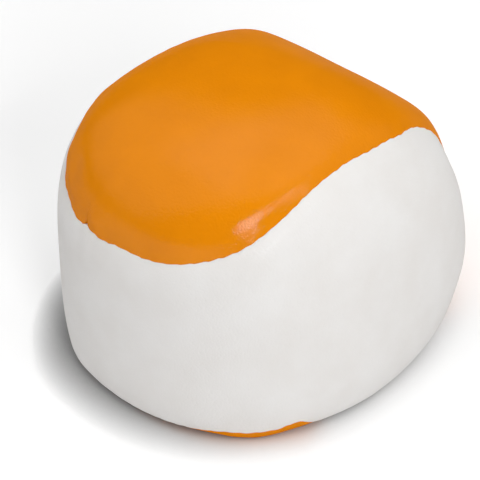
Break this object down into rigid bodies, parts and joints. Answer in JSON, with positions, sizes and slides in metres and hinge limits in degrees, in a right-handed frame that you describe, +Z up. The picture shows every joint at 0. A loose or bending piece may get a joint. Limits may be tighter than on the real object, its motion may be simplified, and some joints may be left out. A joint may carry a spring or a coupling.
{
  "type": "footbag",
  "caption": "Soft pellet-filled footbag sewn from an orange and a white panel along one winding seam, resting on its settled flat base; kicked and kept up with the feet.",
  "frame": {"origin": "on the floor, under the middle of the bag's outside box", "axes": "+Z up; the plane X = 0 is the orange panel's middle; -Y is the front, where the orange panel's upper lobe ends in a curved seam over the white panel; +Y is the back, which is all orange between the ends of the white panel"},
  "size_m": [0.055, 0.0566, 0.0445],
  "materials": {
    "orange_vinyl": "fine pebble grain, satin",
    "white_vinyl": "fine pebble grain, satin",
    "sewing_thread": "twisted polyester",
    "pellet_plastic": "natural, waxy"
  },
  "bodies": {
    "root": {"orange_panel": "orange_vinyl", "white_panel": "white_vinyl", "needle_thread": "sewing_thread", "bobbin_thread": "sewing_thread", "closing_thread": "sewing_thread", "pellet_fill": "pellet_plastic", "loose_pellet_01": "pellet_plastic", "loose_pellet_02": "pellet_plastic", "loose_pellet_03": "pellet_plastic", "loose_pellet_04": "pellet_plastic", "loose_pellet_05": "pellet_plastic", "loose_pellet_06": "pellet_plastic", "loose_pellet_07": "pellet_plastic", "loose_pellet_08": "pellet_plastic", "loose_pellet_09": "pellet_plastic", "loose_pellet_10": "pellet_plastic", "loose_pellet_11": "pellet_plastic", "loose_pellet_12": "pellet_plastic", "loose_pellet_13": "pellet_plastic", "loose_pellet_14": "pellet_plastic", "loose_pellet_15": "pellet_plastic", "loose_pellet_16": "pellet_plastic", "loose_pellet_17": "pellet_plastic", "loose_pellet_18": "pellet_plastic", "loose_pellet_19": "pellet_plastic", "loose_pellet_20": "pellet_plastic", "loose_pellet_21": "pellet_plastic", "loose_pellet_22": "pellet_plastic", "loose_pellet_23": "pellet_plastic", "loose_pellet_24": "pellet_plastic", "loose_pellet_25": "pellet_plastic", "loose_pellet_26": "pellet_plastic", "loose_pellet_27": "pellet_plastic", "loose_pellet_28": "pellet_plastic", "loose_pellet_29": "pellet_plastic", "loose_pellet_30": "pellet_plastic"}
  },
  "joints": []
}
